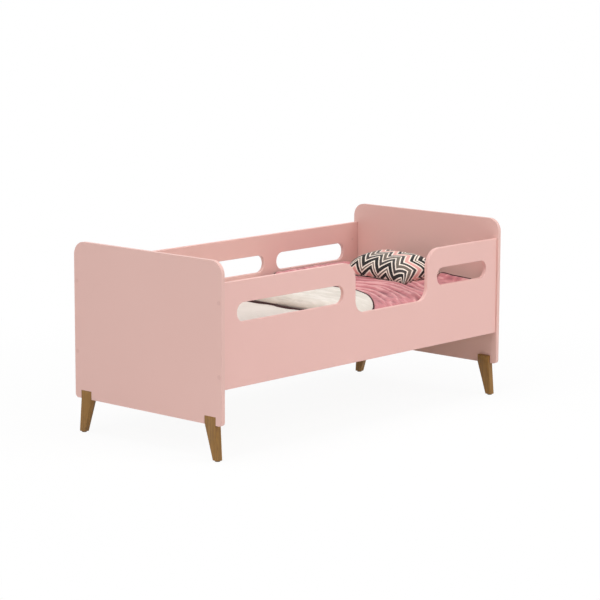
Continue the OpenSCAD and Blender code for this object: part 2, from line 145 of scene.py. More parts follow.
class Value:
    """A node's output, or a number worked out from others, inside one finish."""

    def __init__(self, finish, socket):
        self.finish, self.socket = finish, socket

    def math(self, operation, *others):
        """A Math node on this value and others."""
        return self.finish.node("Math", {"operation": operation}, dict(enumerate((self, *others))))

    def __add__(self, other): return self.math("ADD", other)
    def __sub__(self, other): return self.math("SUBTRACT", other)
    def __mul__(self, other): return self.math("MULTIPLY", other)
    def __truediv__(self, other): return self.math("DIVIDE", other)
    def __radd__(self, other): return self + other
    def __rmul__(self, other): return self * other

    def __rsub__(self, other):
        return self.finish.node("Math", {"operation": "SUBTRACT"}, {0: other, 1: self})

    def sine(self): return self.math("SINE")
    def smallest(self, other): return self.math("MINIMUM", other)
    def largest(self, other): return self.math("MAXIMUM", other)
    def wave(self, step): return self.math("PINGPONG", step)
    def wrap(self, step): return self.math("WRAP", step, 0.0)
    def power(self, k): return self.math("POWER", k)

    def ramp(self, low, high):
        """0 below low, 1 above high, smooth between."""
        return self.finish.node("MapRange", {"interpolation_type": "SMOOTHSTEP"},
                                {0: self, 1: low, 2: high})


class Finish:
    """One procedural material, or the world's light, written as expressions on Values."""

    def __init__(self, name, store=bpy.data.materials):
        self.made = store.new(name)
        self.made.use_nodes = True
        self.tree = self.made.node_tree
        self.tree.nodes.clear()

    def node(self, kind, settings=(), sockets=(), out=0):
        """Adds a node with its settings, and values or links on its sockets."""
        made = self.tree.nodes.new("ShaderNode" + kind)
        for key, value in dict(settings).items():
            if key == "bands":
                self.fill_ramp(made.color_ramp, value)
            else:
                setattr(made, key, value)
        for key, value in dict(sockets).items():
            if isinstance(value, Value):
                self.tree.links.new(value.socket, made.inputs[key])
            else:
                made.inputs[key].default_value = value
        return Value(self, made.outputs[out]) if made.outputs else None

    def fill_ramp(self, ramp, bands):
        """Gives a ramp bands of plain colour, each from its place to the next one's."""
        ramp.interpolation = "CONSTANT"
        while len(ramp.elements) < len(bands):
            ramp.elements.new(1.0)
        for element, (place, colour) in zip(ramp.elements, bands):
            element.position, element.color = place, colour

    def place(self, scale=(1, 1, 1), turn=0.0, uv=None):
        """Object coordinates, or the piece's own map, in metres, scaled and turned about Z."""
        if uv:
            base = self.node("UVMap", {"uv_map": uv})
        else:
            base = self.node("TexCoord", (), (), out="Object")
        return self.node("Mapping", {"vector_type": "POINT"},
                         {"Vector": base, "Scale": scale, "Rotation": (0, 0, turn)})

    def axes(self, vector):
        return [self.node("SeparateXYZ", (), {0: vector}, out=i) for i in range(3)]

    def noise(self, vector, scale, detail=3.0, rough=0.5, twist=0.0):
        return self.node("TexNoise", (), {"Vector": vector, "Scale": scale, "Detail": detail,
                                          "Roughness": rough, "Distortion": twist})

    def mix(self, a, b, factor):
        """Colour a at 0, colour b at 1. Sockets 6 and 7 and output 2 are the colour ones."""
        return self.node("Mix", {"data_type": "RGBA"}, {0: factor, 6: a, 7: b}, out=2)

    def bump(self, height, distance, strength=1.0):
        return self.node("Bump", (), {"Height": height, "Distance": distance,
                                      "Strength": strength})

    def surface(self, **sockets):
        return self.close(self.node("BsdfPrincipled", (), sockets))

    def close(self, shader, out="OutputMaterial"):
        self.node(out, (), {0: shader})
        return self.made


def rgb(r, g, b):
    """A colour given on the usual 0 to 255 scale, as the renderer wants it."""
    def linear(c):
        c /= 255
        return c / 12.92 if c <= 0.04045 else ((c + 0.055) / 1.055) ** 2.4
    return (linear(r), linear(g), linear(b), 1.0)


def darker(colour, share):
    """A colour with this share of its light."""
    return (*(c * share for c in colour[:3]), 1.0)


# ---------------------------------------------------------------- finishes

def lacquer(name, colour, deep):
    """Satin sprayed lacquer on fibreboard: a faint cloud in the colour and a fine orange peel."""
    f = Finish(name)
    spot = f.place()
    cloud = f.noise(spot, 3.0, 4.0, 0.55)
    speck = f.noise(spot, 260.0, 2.0)
    peel = f.noise(spot, 420.0, 3.0, 0.6)
    tone = f.mix(colour, deep, cloud * 0.5 + speck * 0.12)
    return f.surface(**{"Base Color": tone, "Roughness": 0.40 + cloud * 0.10,
                        "Normal": f.bump(peel, 0.00006, 0.6)})


def timber(name, pale, dark, along="Z", fine=1.0, rough=0.45):
    """Planed wood with long streaks and pores that run along one axis."""
    f = Finish(name)
    spot = f.place(scale={"X": (0.06, 1, 1), "Y": (1, 0.06, 1), "Z": (1, 1, 0.06)}[along])
    growth = f.noise(spot, 26 * fine, 3.0, 0.5, 0.6)
    streak = f.noise(spot, 150 * fine, 4.0, 0.62, 0.3)
    pore = f.noise(spot, 620 * fine, 2.0, 0.5).ramp(0.56, 0.70)
    bands = ((growth * 9.0 + streak * 1.2) * math.tau).sine() * 0.5 + 0.5
    tone = f.mix(pale, dark, (bands * 0.38 + streak * 0.5).smallest(1.0))
    tone = f.mix(tone, darker(dark, 0.5), pore * 0.35)
    return f.surface(**{"Base Color": tone, "Roughness": rough + streak * 0.18,
                        "Normal": f.bump(streak * 0.5 - pore * 0.6, 0.00025, 0.5)})


def weave(f, spot, pitch):
    """Height of a plain weave: warp and weft threads that pass over and under."""
    x, y, _ = f.axes(spot)
    warp = (x * (math.tau / pitch)).sine()
    weft = (y * (math.tau / pitch)).sine()
    return (warp * weft) * 0.5 + 0.5


def cotton(name, colour, shade, fade, pitch, sheen=0.25, folds=None):
    """Washed cotton: woven threads, soft mottling and paler worn ridges. The pair of colours in
    folds is painted shade for the valleys and a painted highlight for the crests that the mesh's
    own attribute marks, and its fine creases are a bump that also gets painted shade."""
    f = Finish(name)
    spot = f.place()
    cloud = f.noise(spot, 7.0, 4.0, 0.6)
    slub = f.noise(f.place(scale=(1, 0.12, 1)), 420.0, 3.0)
    threads = weave(f, spot, pitch)
    tone = f.mix(colour, shade, cloud.ramp(0.35, 0.75) * 0.55)
    tone = f.mix(tone, fade, slub.ramp(0.5, 0.75) * 0.35)
    height = threads * 0.7 + slub * 0.5
    if folds:
        painted_valley_shade, painted_crest_highlight = folds
        # painted shade in the valleys and a painted highlight on the crests, read from the mesh's
        # attribute; the fine creases are a bump and painted shade too
        crease_bump_and_shade = f.noise(f.place(scale=(1, 0.34, 1)), 40.0, 1.6, 0.5, 0.7).ramp(0.34, 0.66)
        crest = f.node("Attribute", {"attribute_name": "crest"}, (), out="Fac")
        shade_mark = crest + (crease_bump_and_shade - 0.5) * 0.36
        tone = f.mix(painted_valley_shade, tone, shade_mark.ramp(-0.25, 0.45))
        tone = f.mix(tone, painted_crest_highlight, shade_mark.ramp(0.55, 1.0) * 0.8)
        height = height + crease_bump_and_shade * 5.5
    return f.surface(**{"Base Color": tone, "Roughness": 0.86, "Sheen Weight": sheen,
                        "Normal": f.bump(height, 0.0004, 0.55)})


def metal(name, colour):
    """Zinc-plated steel with a faint grain."""
    f = Finish(name)
    grain = f.noise(f.place(scale=(1, 8, 8)), 900.0, 3.0)
    return f.surface(**{"Base Color": f.mix(colour, darker(colour, 0.8), grain),
                        "Metallic": 1.0, "Roughness": 0.32 + grain * 0.18,
                        "Normal": f.bump(grain, 0.00005, 0.4)})


def felt(name, colour):
    """Pressed fibres, dull and a little hairy."""
    f = Finish(name)
    fibre = f.noise(f.place(), 1400.0, 5.0, 0.7)
    return f.surface(**{"Base Color": f.mix(colour, darker(colour, 0.45), fibre),
                        "Roughness": 0.95, "Normal": f.bump(fibre, 0.0004, 0.8)})


def ticking(name, colour, line):
    """Mattress cover: woven cotton with quilted diamonds."""
    f = Finish(name)
    x, y, _ = f.axes(f.place())
    diamond = 0.045
    seam = (x + y).wave(diamond).smallest((x - y).wave(diamond)).ramp(0.0, 0.012)
    threads = weave(f, f.place(), 0.0012)
    tone = f.mix(line, colour, seam.ramp(0.0, 0.5))
    return f.surface(**{"Base Color": tone, "Roughness": 0.85,
                        "Normal": f.bump(seam + threads * 0.04, 0.004, 0.8)})


def chevron(name):
    """Printed cotton with zigzag stripes, drawn in the pillow's own flat cloth coordinates.
    A tooth is half a zigzag, and slant is how steeply its stripes climb."""
    f = Finish(name)
    tooth, slant, start = 0.045, 0.95, 0.080
    cream, pink = rgb(243, 232, 219), rgb(226, 168, 160)
    black, grey, taupe = rgb(17, 15, 15), rgb(60, 55, 54), rgb(108, 98, 88)
    # widths across the stripes, in millimetres
    widths = [(20, black), (8, cream), (16, grey), (8, cream), (19, taupe), (8, cream), (16, grey),
              (8, cream), (18, pink), (8, cream), (16, black), (7, cream), (8, taupe), (8, cream)]
    whole = sum(width for width, _ in widths)
    bands = [(sum(width for width, _ in widths[:i]) / whole, colour)
             for i, (_, colour) in enumerate(widths)]
    spot = f.place(uv="cloth")
    u, v, _ = f.axes(f.place(uv="cloth", turn=math.radians(10)))
    wobble = f.noise(spot, 90.0, 2.0)
    repeat = whole / 1000
    level = (u + v.wave(tooth) * slant + start + (wobble - 0.5) * 0.003).wrap(repeat)
    tone = f.node("ValToRGB", {"bands": bands}, {0: level / repeat})
    slub = f.noise(f.place(uv="cloth", scale=(1, 0.1, 1)), 700.0, 2.0)
    tone = f.mix(tone, rgb(206, 190, 176), slub.ramp(0.55, 0.8) * 0.12)
    threads = weave(f, spot, 0.0010)
    return f.surface(**{"Base Color": tone, "Roughness": 0.84, "Sheen Weight": 0.06,
                        "Normal": f.bump(threads * 0.8 + slub * 0.4, 0.0003, 0.5)})


END_PAINT = lacquer("lacquer_ends", rgb(228, 187, 178), rgb(223, 180, 171))
GUARD_PAINT = lacquer("lacquer_guards", rgb(232, 187, 179), rgb(227, 180, 172))
CAP_PLASTIC = lacquer("cap_plastic", rgb(222, 180, 171), rgb(214, 170, 162))
LEG_WOOD = timber("leg_wood", rgb(161, 116, 50), rgb(110, 77, 30))
PINE_X = timber("pine_ledger", rgb(226, 196, 148), rgb(196, 156, 104), "X", 0.8, 0.6)
PINE_Y = timber("pine_slats", rgb(228, 199, 152), rgb(198, 158, 106), "Y", 0.8, 0.6)
BEECH = timber("beech_dowels", rgb(222, 188, 142), rgb(190, 150, 104), "Z", 1.2, 0.6)
ZINC = metal("zinc", rgb(196, 198, 202))
YELLOW_ZINC = metal("yellow_zinc", rgb(206, 182, 112))
GLIDE_FELT = felt("glide_felt", rgb(128, 96, 56))
TICKING = ticking("ticking", rgb(240, 238, 233), rgb(214, 208, 198))
SHEET_CLOTH = cotton("sheet_jersey", rgb(224, 215, 206), rgb(207, 197, 188), rgb(233, 226, 218),
                     0.0009)
# the folds pairs: painted shade for the valleys and a painted highlight for the crests
QUILT_PINK = cotton("quilt_pink", rgb(203, 127, 131), rgb(182, 101, 109), rgb(218, 150, 151),
                    0.0012, folds=(rgb(128, 56, 68), rgb(232, 172, 171)))
QUILT_CREAM = cotton("quilt_cream", rgb(224, 216, 205), rgb(208, 199, 187), rgb(233, 227, 218),
                     0.0012, folds=(rgb(188, 178, 167), rgb(238, 231, 222)))
# the piping's own dark brown, also worn by the dark cord of painted shadow under the fold
PIPING_AND_SHADOW_CORD = cotton("piping_and_shadow_cord", rgb(62, 30, 31), rgb(46, 22, 24), rgb(82, 42, 42), 0.0008, sheen=0.0)
PILLOW_PRINT = chevron("pillow_chevron")


def dress(names, material):
    """Gives CAD nodes that show as they are their finish."""
    for name in names:
        mesh = NODES[name].data
        mesh.materials.clear()
        mesh.materials.append(material)


dress([n for n in NODES if n.startswith("slat_") and n != "slat_screws"], PINE_Y)
dress(["front_ledger", "back_ledger"], PINE_X)
dress(["leg_dowels", "panel_dowels"], BEECH)
dress(["panel_bolts", "barrel_nuts"], ZINC)
dress(["ledger_screws", "slat_screws"], YELLOW_ZINC)
dress(["leg_glides"], GLIDE_FELT)


# ---------------------------------------------------------------- mesh helpers

def piece(name, bm, materials, body=None, node=None, smooth=True):
    """Turns a bmesh into an object at the origin. It rides on a body, stands for a CAD node and
    takes its finish from a material slot, where they are named."""
    mesh = bpy.data.meshes.new(name)
    for face in bm.faces:
        face.smooth = smooth
    bm.to_mesh(mesh)
    bm.free()
    made = bpy.data.objects.new(name, mesh)
    SCENE.collection.objects.link(made)
    for material in materials:
        mesh.materials.append(material)
    if body:
        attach(made, body)
    if node:
        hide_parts(node)
    return made


def modifier(owner, kind, **settings):
    """Adds a modifier with its settings."""
    made = owner.modifiers.new(kind.title(), kind)
    for key, value in settings.items():
        setattr(made, key, value)
    return made


def soften(owner):
    """Clean shading over eased edges: big faces keep their own direction."""
    modifier(owner, "WEIGHTED_NORMAL", mode="FACE_AREA", weight=60, keep_sharp=False)


def ease(bm, edges, radius, segments=3, clamp=False):
    """Rounds edges off to a radius."""
    bmesh.ops.bevel(bm, geom=edges, offset=radius, offset_type="OFFSET", segments=segments,
                    profile=0.5, affect="EDGES", clamp_overlap=clamp, material=-1)


def move(bm, x=0.0, y=0.0, z=0.0):
    """Shifts all that is in a bmesh."""
    bmesh.ops.translate(bm, vec=(x, y, z), verts=bm.verts[:])


def only(kind, geom):
    """The vertices, or the faces, among what an operator hands back."""
    return [g for g in geom if isinstance(g, kind)]


def copied(bm):
    """Doubles all that is in a bmesh and hands back the copy's geometry."""
    return bmesh.ops.duplicate(bm, geom=bm.verts[:] + bm.edges[:] + bm.faces[:])["geom"]


def block(size):
    """A bmesh of a box of the given size, round the origin."""
    bm = bmesh.new()
    bmesh.ops.create_cube(bm, size=1.0)
    bmesh.ops.scale(bm, vec=size, verts=bm.verts[:])
    return bm


def remove(gone):
    """Takes an object out of the scene."""
    bpy.data.objects.remove(gone, do_unlink=True)


def round_corner(bm, x, y, radius, segments=14):
    """Rounds the corner of the flat outline at (x, y)."""
    corner = min(bm.verts, key=lambda v: (v.co.x - x) ** 2 + (v.co.y - y) ** 2)
    bmesh.ops.bevel(bm, geom=[corner], offset=radius, offset_type="OFFSET", segments=segments,
                    profile=0.5, affect="VERTICES", clamp_overlap=False, material=-1)


def stadium(bm, x0, x1, y, height, segments=40):
    """Adds the outline of a slot with full round ends."""
    r = height / 2
    ring = bmesh.ops.create_circle(bm, cap_ends=False, segments=segments, radius=r,
                                   matrix=Matrix.Rotation(math.pi / segments, 4, "Z"))["verts"]
    for v in ring:
        v.co.x += x1 - r if v.co.x > 0 else x0 + r
        v.co.y += y


def board(corners, radii, slots=()):
    """A flat board in the XY plane, from z 0 up to its thickness, with slots and eased edges."""
    bm = bmesh.new()
    bm.faces.new([bm.verts.new((x, y, 0)) for x, y in corners])
    for (x, y), radius in zip(corners, radii):
        if radius:
            round_corner(bm, x, y, radius)
    bmesh.ops.delete(bm, geom=bm.faces[:], context="FACES_ONLY")
    for x0, x1 in slots:
        stadium(bm, x0, x1, SLOT_Z, SLOT_H)
    bmesh.ops.triangle_fill(bm, use_beauty=True, use_dissolve=False, edges=bm.edges[:])
    grown = bmesh.ops.extrude_face_region(bm, geom=bm.faces[:])["geom"]
    bmesh.ops.translate(bm, vec=(0, 0, BOARD), verts=only(bmesh.types.BMVert, grown))
    bmesh.ops.recalc_face_normals(bm, faces=bm.faces[:])
    rim = [e for e in bm.edges if len(e.link_faces) == 2 and e.calc_face_angle(0) > 1.0]
    ease(bm, rim, EASE, clamp=True)
    return bm


# ---------------------------------------------------------------- boards

def end_board(name, toward):
    """An end panel with a notch for each leg. Its outer face looks along toward * X."""
    corners = [(-HALF_W, END_LIFT), (-NOTCH_Y1, END_LIFT), (-NOTCH_Y1, NOTCH_TOP),
               (-NOTCH_Y0, NOTCH_TOP), (-NOTCH_Y0, END_LIFT), (NOTCH_Y0, END_LIFT),
               (NOTCH_Y0, NOTCH_TOP), (NOTCH_Y1, NOTCH_TOP), (NOTCH_Y1, END_LIFT),
               (HALF_W, END_LIFT), (HALF_W, BED_H), (-HALF_W, BED_H)]
    radii = [END_LOW_R] + [0] * 8 + [END_LOW_R, END_TOP_R, END_TOP_R]
    bm = board(corners, radii)
    # the board's plane (x, y) becomes (Y, Z), and its thickness runs along X
    bm.transform(Matrix(((0, 0, 1, 0), (1, 0, 0, 0), (0, 1, 0, 0), (0, 0, 0, 1))))
    move(bm, x=-HALF_L if toward < 0 else HALF_L - BOARD)
    soften(piece(name + "_panel", bm, [END_PAINT], "bed_frame", name))


def guard_board(name, side, corners, radii, slots):
    """A long panel between the ends, on the side * Y side."""
    bm = board(corners, radii, slots)
    # the board's plane (x, y) becomes (X, Z), and its thickness runs along -Y
    bm.transform(Matrix(((1, 0, 0, 0), (0, 0, -1, 0), (0, 1, 0, 0), (0, 0, 0, 1))))
    move(bm, y=GUARD_OUT if side > 0 else -GUARD_IN)
    soften(piece(name + "_panel", bm, [GUARD_PAINT], "bed_frame", name))


def make_guards():
    """The long panels: the front dips for the entry, and the back has a row of slots."""
    x0, x1, z0, z1 = -GUARD_L / 2, GUARD_L / 2, GUARD_LO.z, GUARD_TOP
    guard_board(
        "front_guard", -1,
        [(x0, z0), (x1, z0), (x1, z1), (ENTRY_X1, z1), (ENTRY_X1, ENTRY_Z), (ENTRY_X0, ENTRY_Z),
         (ENTRY_X0, z1), (x0, z1)],
        [0, 0, 0, ENTRY_TOP_R, ENTRY_LOW_R, ENTRY_LOW_R, ENTRY_TOP_R, 0],
        [(x0 + FRONT_SLOT_END, ENTRY_X0 - POST_FOOT_W),
         (ENTRY_X1 + POST_HEAD_W, x1 - FRONT_SLOT_END)])
    slot_l = (GUARD_L - 2 * BACK_SLOT_END - (BACK_SLOTS - 1) * BACK_POST_W) / BACK_SLOTS
    starts = [x0 + BACK_SLOT_END + i * (slot_l + BACK_POST_W) for i in range(BACK_SLOTS)]
    guard_board("back_guard", 1, [(x0, z0), (x1, z0), (x1, z1), (x0, z1)], [0] * 4,
                [(start, start + slot_l) for start in starts])


end_board("footboard", -1)
end_board("headboard", 1)
make_guards()


# ---------------------------------------------------------------- legs

def leg(name, end, side):
    """A square head in the panel's notch, then a splayed taper with eased edges."""
    mid_x, mid_y = -HALF_L + LEG_TOP_T / 2, (NOTCH_Y0 + NOTCH_Y1) / 2
    bm = block((LEG_TOP_T, LEG_TOP_W, NOTCH_TOP - LEG_LO.z))
    move(bm, mid_x, mid_y, (NOTCH_TOP + LEG_LO.z) / 2)
    bmesh.ops.bisect_plane(bm, geom=bm.verts[:] + bm.edges[:] + bm.faces[:],
                           plane_co=(0, 0, END_LIFT), plane_no=(0, 0, 1))
    for v in bm.verts:
        if v.co.z < END_LIFT - 0.001:
            v.co.y = LEG_HI.y - LEG_FOOT_W if v.co.y < mid_y else LEG_HI.y
            if v.co.x > mid_x:
                v.co.x = -HALF_L + LEG_FOOT_T
    ease(bm, [e for e in bm.edges if e.calc_face_angle(0) > 0.6], LEG_EASE, clamp=True)
    bmesh.ops.remove_doubles(bm, verts=bm.verts[:], dist=0.00005)
    bmesh.ops.dissolve_degenerate(bm, edges=bm.edges[:], dist=0.00005)
    bmesh.ops.scale(bm, vec=(-end, side, 1), verts=bm.verts[:])
    bmesh.ops.recalc_face_normals(bm, faces=bm.faces[:])
    soften(piece(name + "_wood", bm, [LEG_WOOD], "bed_frame", name))


for row, side in (("front", -1), ("back", 1)):
    for place, end in (("foot", -1), ("head", 1)):
        leg(f"leg_{row}_{place}", end, side)


# ---------------------------------------------------------------- caps over the fittings

def disc(bm, radius, proud, face, axis):
    """A disc that stands proud of a board's face, with its front edge eased."""
    depth = CAP_SINK + proud
    centre = face + axis * (proud - depth / 2)
    turned = axis.to_track_quat("Z", "Y").to_matrix().to_4x4()
    verts = bmesh.ops.create_cone(bm, cap_ends=True, segments=32, radius1=radius, radius2=radius,
                                  depth=depth, matrix=Matrix.Translation(centre) @ turned)["verts"]
    rim = {e for v in verts for e in v.link_edges
           if all((o.co - centre).dot(axis) > 0 for o in e.verts)}
    ease(bm, list(rim), min(proud * 0.8, CAP_EASE), segments=2)


def make_caps():
    """Domed caps over the bolts, on the ends, and thin discs over the nuts, inside the guards."""
    cap_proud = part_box("cover_caps")[1].x - HALF_L
    nut_x = -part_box("barrel_nuts")[0].x - NUT_R
    bolt_y = (GUARD_OUT + GUARD_IN) / 2
    bm = bmesh.new()
    for radius, proud, x, y, axis in (
            (CAP_R, cap_proud, HALF_L, bolt_y, Vector((1, 0, 0))),
            (NUT_R, DISC_PROUD, nut_x, GUARD_IN, Vector((0, -1, 0)))):
        for z in (GUARD_LO.z + BOLT_RISE, GUARD_TOP - BOLT_DROP):
            disc(bm, radius, proud, Vector((x, y, z)), axis)
    for flip in ((-1, 1, 1), (1, -1, 1)):
        bmesh.ops.scale(bm, vec=flip, verts=only(bmesh.types.BMVert, copied(bm)))
    bmesh.ops.recalc_face_normals(bm, faces=bm.faces[:])
    soften(piece("caps", bm, [CAP_PLASTIC], "bed_frame", "cover_caps"))


make_caps()


# ---------------------------------------------------------------- cloth

def clamped(t):
    """t, kept between 0 and 1."""
    return min(1.0, max(0.0, t))


def smooth_step(t):
    """0 up to 0, 1 from 1 on, smooth between."""
    t = clamped(t)
    return t * t * (3 - 2 * t)


def drift(x, y, seed):
    """Smooth random heights, from about -1 to 1."""
    return noise.noise(Vector((x, y, seed)))


def ridges(x, y, seed):
    """Narrow crests, 1 at their highest, that wander and meet."""
    return math.exp(-(4.5 * drift(x, y, seed)) ** 2)


def swell(distance, pitch):
    """Even waves from 0 to 1, one in each pitch."""
    return 0.5 + 0.5 * math.sin(distance * math.tau / pitch)


def collider(name, low, high):
    """A box that cloth lands on. It is taken away once the cloth has settled."""
    low, high = Vector(low), Vector(high)
    bm = block(high - low)
    move(bm, *((high + low) / 2))
    made = piece(name, bm, [], smooth=False)
    modifier(made, "COLLISION")
    made.collision.thickness_outer = 0.001
    made.collision.cloth_friction = 12
    return made


def settle(cloth, frames, gap, grow, stiffness, bending, mass, gravity=1.0, pressure=0.0, pin=""):
    """Runs the cloth for some frames and keeps the result in the mesh."""
    sim = modifier(cloth, "CLOTH")
    s, c = sim.settings, sim.collision_settings
    s.quality, s.mass, s.air_damping = 5, mass, 2.0
    s.tension_stiffness = s.compression_stiffness = stiffness
    s.shear_stiffness, s.bending_stiffness = stiffness * 0.4, bending
    s.tension_damping = s.compression_damping = s.shear_damping = 8.0
    s.effector_weights.gravity = gravity
    s.shrink_min = -grow
    s.use_pressure, s.uniform_pressure_force = bool(pressure), pressure
    s.vertex_group_mass = pin
    c.use_collision, c.use_self_collision = True, False
    c.distance_min, c.collision_quality = gap, 3
    sim.point_cache.frame_start, sim.point_cache.frame_end = 1, frames
    SCENE.frame_start, SCENE.frame_end = 1, frames
    for number in range(1, frames + 1):
        SCENE.frame_set(number)
    graph = bpy.context.evaluated_depsgraph_get()
    settled = cloth.evaluated_get(graph).to_mesh()
    points = [v.co.copy() for v in settled.vertices]
    cloth.modifiers.remove(sim)
    for v, p in zip(cloth.data.vertices, points):
        v.co = p
    cloth.data.update()
    SCENE.frame_set(1)


# ---------------------------------------------------------------- mattress and fitted sheet

def make_mattress():
    """A foam block in a quilted cover, with round corners and eased rims."""
    bm = block(MAT_HI - MAT_LO)
    upright = [e for e in bm.edges if abs(e.verts[0].co.z - e.verts[1].co.z) > 0.05]
    ease(bm, upright, MATTRESS_R, segments=8)
    rims = [e for e in bm.edges if abs(e.verts[0].co.z - e.verts[1].co.z) < 1e-5
            and len(e.link_faces) == 2 and e.calc_face_angle(0) > 1.0]
    ease(bm, rims, MATTRESS_RIM, segments=4)
    move(bm, *((MAT_LO + MAT_HI) / 2))
    made = piece("mattress_block", bm, [TICKING], "mattress", "mattress")
    soften(made)


def sheet_shell(size, half_x, half_y):
    """The sheet's smooth form: its top, round corners and walls, and the hem below."""
    bm = bmesh.new()
    bmesh.ops.create_grid(bm, x_segments=72, y_segments=34, size=0.5)
    bmesh.ops.scale(bm, vec=(2 * half_x, 2 * half_y, 1), verts=bm.verts[:])
    arc_x, arc_y = half_x - MATTRESS_R, half_y - MATTRESS_R
    for v in bm.verts:
        u, w = (abs(v.co.x) - arc_x) / MATTRESS_R, (abs(v.co.y) - arc_y) / MATTRESS_R
        if u > 0 and w > 0:
            k = max(u, w) / math.hypot(u, w)
            v.co.x = math.copysign(arc_x + u * k * MATTRESS_R, v.co.x)
            v.co.y = math.copysign(arc_y + w * k * MATTRESS_R, v.co.y)
    wall = [(size.z / SHEET_WALL_ROWS, 0)] * SHEET_WALL_ROWS
    hem = [(0, SHEET_HEM / SHEET_HEM_ROWS)] * SHEET_HEM_ROWS
    for drop, inward in wall + hem:
        rim = [e for e in bm.edges if e.is_boundary]
        verts = only(bmesh.types.BMVert, bmesh.ops.extrude_edge_only(bm, edges=rim)["geom"])
        bmesh.ops.translate(bm, vec=(0, 0, -drop), verts=verts)
        for v in verts:
            v.co.x -= inward * v.co.x / half_x
            v.co.y -= inward * v.co.y / half_y
    move(bm, (SHEET_LO.x + SHEET_HI.x) / 2, 0, SHEET_HI.z - SHEET_T / 2)
    for v in bm.verts:
        v.co.z = max(v.co.z, SHEET_LO.z + SHEET_T / 2)
    bmesh.ops.recalc_face_normals(bm, faces=bm.faces[:])
    return bm


def make_sheet():
    """One layer pulled over the mattress, with soft creases on top that die out at the edge."""
    size = SHEET_HI - SHEET_LO
    half_x, half_y = size.x / 2 - SHEET_INSET, size.y / 2 - SHEET_INSET
    made = piece("sheet_cloth", sheet_shell(size, half_x, half_y), [SHEET_CLOTH], "mattress",
                 "fitted_sheet")
    for v in made.data.vertices:
        x, y, z = v.co
        if z > SHEET_HI.z - 0.002:
            inside = min(half_x - abs(x), half_y - abs(y))
            pull = drift(x * 3.1 + y * 5.0, y * 16.0 - x * 6.0, 0.3)
            broad = drift(x * 5.0, y * 4.0, 8.3)
            rise = 0.0016 + 0.0035 * max(0, pull + 0.1) + 0.003 * max(0, broad)
            v.co.z += rise * smooth_step(inside / SHEET_CALM)
    modifier(made, "SOLIDIFY", thickness=SHEET_T, offset=1)
    modifier(made, "SUBSURF", levels=1, render_levels=1)


make_mattress()
make_sheet()


# ---------------------------------------------------------------- quilt
# One padded cloth, pink above and cream below, folded back on itself. On the flat cloth, s runs
# along it from the head end and t across it.

def past_flap(x, y):
    """How far (x, y) lies outside the edge of the folded flap."""
    arc_x, arc_y = FLAP_X - FLAP_R, -QUILT_HI.y + FLAP_RY
    if y > arc_y:
        return x - FLAP_X
    out_x, out_y = max(0, x - arc_x) / FLAP_R, (arc_y - y) / FLAP_RY
    return ((out_x ** FLAP_POWER + out_y ** FLAP_POWER) ** (1 / FLAP_POWER) - 1) * FLAP_R


def round_share(share):
    """How full a round edge is, this share of the way in from it."""
    return math.sqrt(1 - (1 - share) ** 2)


def thinned(distance):
    """Share of the padding that is missing this far in from a piped edge."""
    return 1 - round_share(clamped(distance / RIM))


def corner_heap(x, y):
    """The corner by the headboard, pushed up so that its piped edge is the highest line."""
    rise = smooth_step((-y - 0.05) / 0.11) * (1 - 0.22 * smooth_step((-y - 0.17) / 0.15))
    return rise * (0.55 * smooth_step((x - 0.50) / 0.14) + 0.45 * smooth_step((x - 0.66) / 0.045))


def pillow_nest(x, y):
    """1 under the pillow and close round it, 0 away from it."""
    out = math.hypot(max(0, abs(x - PILLOW_X) - 0.085), max(0, abs(y - PILLOW_Y) - 0.155))
    return smooth_step((0.075 - out) / 0.06)


def at_wall(y):
    """1 where the quilt is pushed up against the back guard, 0 away from it."""
    return smooth_step((y - QUILT_HALF_W + 0.080) / 0.080)


def tucked(x, y):
    """1 at the entry side, where the edge drops, and 0 away from it and by the headboard."""
    return smooth_step((0.075 - QUILT_HALF_W - y) / 0.075) * smooth_step((0.55 - x) / 0.1)


def cut_corners(s, t):
    """Pulls the square cloth's corners in to their arcs."""
    small = (QUILT_CORNER_R, QUILT_CORNER_R, 2)
    for at_end, sign, (rs, rt, power) in (
            (False, 1, small), (False, -1, small), (True, 1, small),
            (True, -1, (FLAP_R, FLAP_RY, FLAP_POWER))):
        along = (s - (CLOTH_L - rs) if at_end else rs - s) / rs
        across = (sign * t - (QUILT_HALF_W - rt)) / rt
        if along > 0 and across > 0:
            k = max(along, across) / (along ** power + across ** power) ** (1 / power)
            s = CLOTH_L - rs + along * k * rs if at_end else rs - along * k * rs
            t = sign * (QUILT_HALF_W - rt + across * k * rt)
    return s, t


def folded_back(s, t):
    """Where a point of the flat cloth lies in the folded quilt, before it settles."""
    if s < LOWER_L:
        x = QUILT_HI.x - s
        return x, t, LOW_Z + BILLOW * drift(x * 7, t * 6, 4.0)
    if s < LOWER_L + BEND_L:
        a = (s - LOWER_L) / FOLD_R
        return FOLD_X - FOLD_R * math.sin(a), t, LOW_Z + FOLD_R * (1 - math.cos(a))
    x = FOLD_X + (s - LOWER_L - BEND_L)
    return x, t, HIGH_Z + BILLOW * (1 + drift(x * 6, t * 5, 9.0))


def lie(cloth, held, height):
    """Lets the cloth settle on a level, with the points in held kept where they are."""
    group = cloth.vertex_groups.new(name="held")
    group.add(held, 1.0, "REPLACE")
    bed = collider("under", (-1.0, -0.6, height - 0.2), (1.0, 0.6, height))
    settle(cloth, 14, gap=PAD / 2 - 0.0035, grow=0.008, stiffness=15, bending=1.2, mass=0.3,
           pin="held")
    remove(bed)
    cloth.vertex_groups.remove(group)


